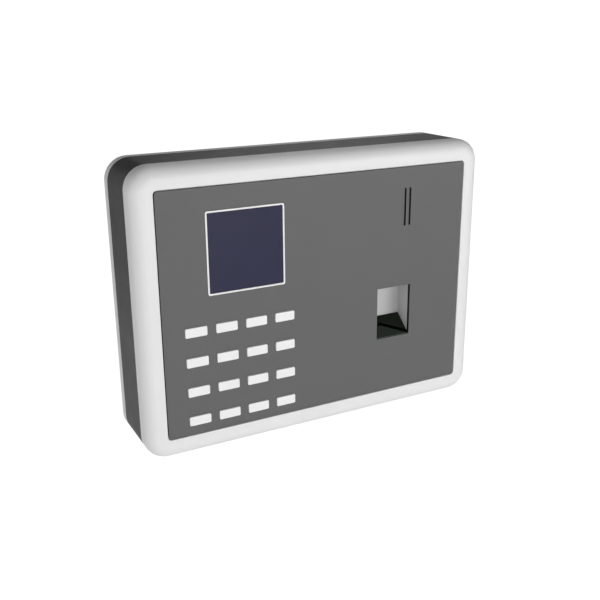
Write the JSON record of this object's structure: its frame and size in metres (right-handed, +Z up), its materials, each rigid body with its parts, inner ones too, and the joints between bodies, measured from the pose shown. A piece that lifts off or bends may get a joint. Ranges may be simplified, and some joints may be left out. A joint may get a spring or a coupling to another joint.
{
  "type": "fingerprint time clock",
  "caption": "Wall-mounted time clock: rounded case, face panel with display and flat keys, a finger well with a sloping glass sensor, and a screwed-on wall plate behind.",
  "frame": {"origin": "centre of the wall plate's back face, on the wall", "axes": "+Z up, front faces -Y, +Y into the wall, +X to the right as seen from in front"},
  "size_m": [0.1796, 0.0388, 0.134],
  "materials": {
    "light_plastic": "light grey moulded plastic, fine satin texture",
    "dark_plastic": "dark grey moulded plastic, satin",
    "panel_plastic": "mid grey sheet, fine matt texture",
    "key_plastic": "white, lightly glossy",
    "display_tint": "dark blue tinted window, glossy",
    "module_metal": "satin",
    "silicone": "grey silicone",
    "circuit_board": "green solder mask",
    "well_plastic": "light grey moulded plastic",
    "sensor_glass": "dark green-black polished optical block",
    "black_plastic": "black moulded plastic",
    "smoked_plastic": "smoked light guide",
    "green_light": "tinted light",
    "red_light": "tinted light",
    "socket_metal": "plated sheet shield",
    "terminal_green": "green moulded plastic",
    "bright_metal": "zinc-plated, bright",
    "speaker_paper": "black treated paper",
    "plunger_white": "white acetal",
    "ribbon": "flat flexible cable",
    "plate_steel": "pressed and plated sheet"
  },
  "bodies": {
    "clock": {"front_bezel": "light_plastic", "rear_cover": "light_plastic", "mid_shell": "dark_plastic", "face_panel": "panel_plastic", "display_trim": "key_plastic", "display_window": "display_tint", "lcd_module": "module_metal", "key_mat": "silicone", "keypad_board": "circuit_board", "finger_well": "well_plastic", "sensor_prism": "sensor_glass", "sensor_housing": "black_plastic", "sensor_board": "circuit_board", "light_guide": "smoked_plastic", "light_board": "circuit_board", "green_light": "green_light", "red_light": "red_light", "main_board": "circuit_board", "processor": "black_plastic", "ethernet_jack": "socket_metal", "power_jack": "black_plastic", "terminal_block": "terminal_green", "usb_port": "socket_metal", "cell_holder": "black_plastic", "backup_cell": "bright_metal", "speaker_basket": "black_plastic", "speaker_cone": "speaker_paper", "tamper_switch": "black_plastic", "reset_switch": "socket_metal", "keypad_ribbon": "ribbon", "display_ribbon": "ribbon", "sensor_ribbon": "ribbon", "lock_screw": "bright_metal", "wall_plate": "plate_steel", "case_screw_lower_left": "bright_metal", "case_screw_upper_left": "bright_metal", "case_screw_lower_right": "bright_metal", "case_screw_upper_right": "bright_metal", "board_screw_1": "bright_metal", "board_screw_2": "bright_metal", "board_screw_3": "bright_metal", "board_screw_4": "bright_metal"},
    "key_row1_col1": {"key_row1_col1": "key_plastic"},
    "key_row1_col2": {"key_row1_col2": "key_plastic"},
    "key_row1_col3": {"key_row1_col3": "key_plastic"},
    "key_row1_col4": {"key_row1_col4": "key_plastic"},
    "key_row2_col1": {"key_row2_col1": "key_plastic"},
    "key_row2_col2": {"key_row2_col2": "key_plastic"},
    "key_row2_col3": {"key_row2_col3": "key_plastic"},
    "key_row2_col4": {"key_row2_col4": "key_plastic"},
    "key_row3_col1": {"key_row3_col1": "key_plastic"},
    "key_row3_col2": {"key_row3_col2": "key_plastic"},
    "key_row3_col3": {"key_row3_col3": "key_plastic"},
    "key_row3_col4": {"key_row3_col4": "key_plastic"},
    "key_row4_col1": {"key_row4_col1": "key_plastic"},
    "key_row4_col2": {"key_row4_col2": "key_plastic"},
    "key_row4_col3": {"key_row4_col3": "key_plastic"},
    "key_row4_col4": {"key_row4_col4": "key_plastic"},
    "tamper_plunger": {"tamper_plunger": "plunger_white"},
    "reset_button": {"reset_button": "black_plastic"}
  },
  "joints": [
    {"name": "row1_col1_press", "type": "slide", "parent": "clock", "child": "key_row1_col1", "axis": [0, 1, 0], "range_m": [0, 0.001], "stiffness_N_per_m": 800, "deforming": ["key_mat"]},
    {"name": "row1_col2_press", "type": "slide", "parent": "clock", "child": "key_row1_col2", "axis": [0, 1, 0], "range_m": [0, 0.001], "stiffness_N_per_m": 800},
    {"name": "row1_col3_press", "type": "slide", "parent": "clock", "child": "key_row1_col3", "axis": [0, 1, 0], "range_m": [0, 0.001], "stiffness_N_per_m": 800},
    {"name": "row1_col4_press", "type": "slide", "parent": "clock", "child": "key_row1_col4", "axis": [0, 1, 0], "range_m": [0, 0.001], "stiffness_N_per_m": 800},
    {"name": "row2_col1_press", "type": "slide", "parent": "clock", "child": "key_row2_col1", "axis": [0, 1, 0], "range_m": [0, 0.001], "stiffness_N_per_m": 800},
    {"name": "row2_col2_press", "type": "slide", "parent": "clock", "child": "key_row2_col2", "axis": [0, 1, 0], "range_m": [0, 0.001], "stiffness_N_per_m": 800},
    {"name": "row2_col3_press", "type": "slide", "parent": "clock", "child": "key_row2_col3", "axis": [0, 1, 0], "range_m": [0, 0.001], "stiffness_N_per_m": 800},
    {"name": "row2_col4_press", "type": "slide", "parent": "clock", "child": "key_row2_col4", "axis": [0, 1, 0], "range_m": [0, 0.001], "stiffness_N_per_m": 800},
    {"name": "row3_col1_press", "type": "slide", "parent": "clock", "child": "key_row3_col1", "axis": [0, 1, 0], "range_m": [0, 0.001], "stiffness_N_per_m": 800},
    {"name": "row3_col2_press", "type": "slide", "parent": "clock", "child": "key_row3_col2", "axis": [0, 1, 0], "range_m": [0, 0.001], "stiffness_N_per_m": 800},
    {"name": "row3_col3_press", "type": "slide", "parent": "clock", "child": "key_row3_col3", "axis": [0, 1, 0], "range_m": [0, 0.001], "stiffness_N_per_m": 800},
    {"name": "row3_col4_press", "type": "slide", "parent": "clock", "child": "key_row3_col4", "axis": [0, 1, 0], "range_m": [0, 0.001], "stiffness_N_per_m": 800},
    {"name": "row4_col1_press", "type": "slide", "parent": "clock", "child": "key_row4_col1", "axis": [0, 1, 0], "range_m": [0, 0.001], "stiffness_N_per_m": 800},
    {"name": "row4_col2_press", "type": "slide", "parent": "clock", "child": "key_row4_col2", "axis": [0, 1, 0], "range_m": [0, 0.001], "stiffness_N_per_m": 800},
    {"name": "row4_col3_press", "type": "slide", "parent": "clock", "child": "key_row4_col3", "axis": [0, 1, 0], "range_m": [0, 0.001], "stiffness_N_per_m": 800},
    {"name": "row4_col4_press", "type": "slide", "parent": "clock", "child": "key_row4_col4", "axis": [0, 1, 0], "range_m": [0, 0.001], "stiffness_N_per_m": 800},
    {"name": "tamper_release", "type": "slide", "parent": "clock", "child": "tamper_plunger", "axis": [0, 1, 0], "range_m": [0, 0.0015], "stiffness_N_per_m": 100, "springref_m": 0.003},
    {"name": "reset_press", "type": "slide", "parent": "clock", "child": "reset_button", "axis": [0, -1, 0], "range_m": [0, 0.0003], "stiffness_N_per_m": 4000}
  ]
}
